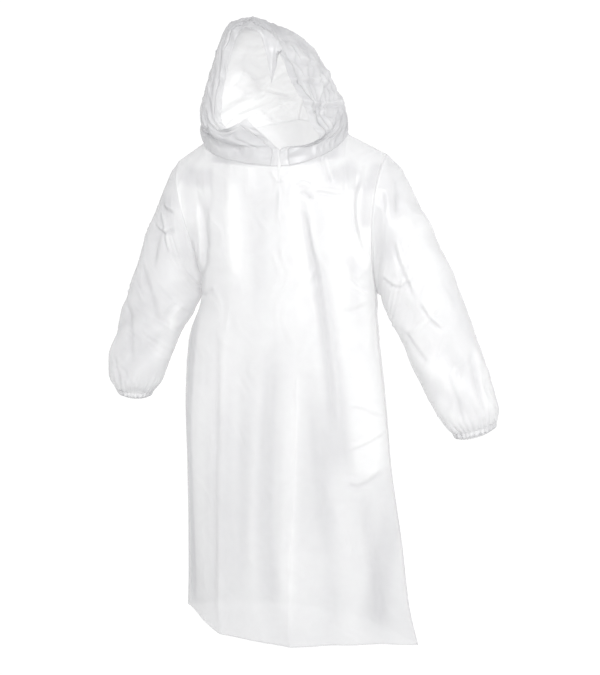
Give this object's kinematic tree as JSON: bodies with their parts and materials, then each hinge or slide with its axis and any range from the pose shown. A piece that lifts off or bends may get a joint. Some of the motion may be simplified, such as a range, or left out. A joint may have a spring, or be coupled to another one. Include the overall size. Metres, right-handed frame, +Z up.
{
  "type": "rain poncho",
  "caption": "Hooded rain poncho of thin translucent film in its worn form, with long sleeves, elastic cuffs, an open face and a short neck slit.",
  "frame": {"origin": "base of the neck, level with the shoulders, where the wearer holds the garment up", "axes": "+Z up along the garment, the front faces -Y, the wearer's left is +X"},
  "size_m": [0.9454, 0.2921, 1.459],
  "materials": {
    "film": "translucent milky film, faint sheen",
    "doubled_film": "two layers of milky film, heat sealed"
  },
  "bodies": {
    "root": {"front": "film", "back": "film", "sleeve_right": "film", "sleeve_left": "film", "cuff_right": "doubled_film", "cuff_left": "doubled_film", "hood_right": "film", "hood_left": "film", "hood_hem_right": "doubled_film", "hood_hem_left": "doubled_film"}
  },
  "joints": []
}
